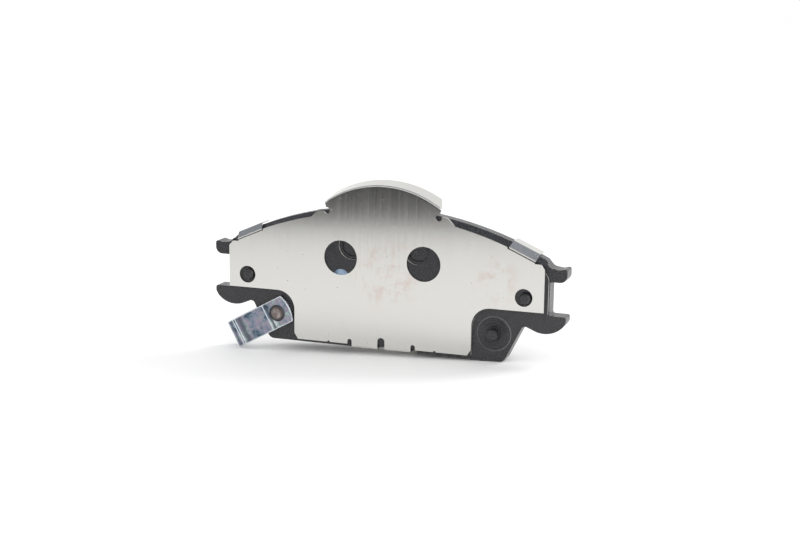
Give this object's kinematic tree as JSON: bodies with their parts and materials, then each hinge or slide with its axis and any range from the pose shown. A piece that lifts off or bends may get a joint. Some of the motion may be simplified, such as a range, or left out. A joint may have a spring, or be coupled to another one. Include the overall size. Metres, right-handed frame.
{
  "type": "brake pad",
  "caption": "Disc brake pad on an eared steel backing plate, with a clip-on crescent-topped shim, a rubber-coated inner shim and a riveted wear indicator.",
  "frame": {"origin": "on the outer shim's flat face, midway between the two locating pips and level with them", "axes": "+X along the pad's length, to the viewer's right when the shim is seen; +Y from the caliper side towards the disc; +Z away from the axle, with the pad standing on its lower edge"},
  "size_m": [0.1372, 0.0196, 0.0682],
  "materials": {
    "powder_coat": "semi-matte black powder coat",
    "cured_resin": "thin cured phenolic adhesive",
    "underlayer_mix": "moulded insulating mix, matt",
    "friction_mix": "ground friction mix, matt and speckled",
    "adhesive": "pressure-sensitive adhesive",
    "black_rubber": "smooth nitrile coat, satin",
    "cold_rolled_steel": "plain steel, sheared edge",
    "stainless_sheet": "rolled satin stainless sheet",
    "zinc_plate": "bright zinc plating with faint iridescence"
  },
  "bodies": {
    "pad": {"backing_plate": "powder_coat", "bonding_film": "cured_resin", "underlayer": "underlayer_mix", "friction_lining": "friction_mix", "shim_adhesive": "adhesive", "inner_shim_back_rubber": "black_rubber", "inner_shim_core": "cold_rolled_steel", "inner_shim_front_rubber": "black_rubber", "wear_indicator": "zinc_plate"},
    "shim": {"outer_shim": "stainless_sheet"}
  },
  "joints": [
    {"name": "shim_pull_off", "type": "slide", "parent": "pad", "child": "shim", "axis": [0, -1, 0], "range_m": [0, 0.02]}
  ]
}
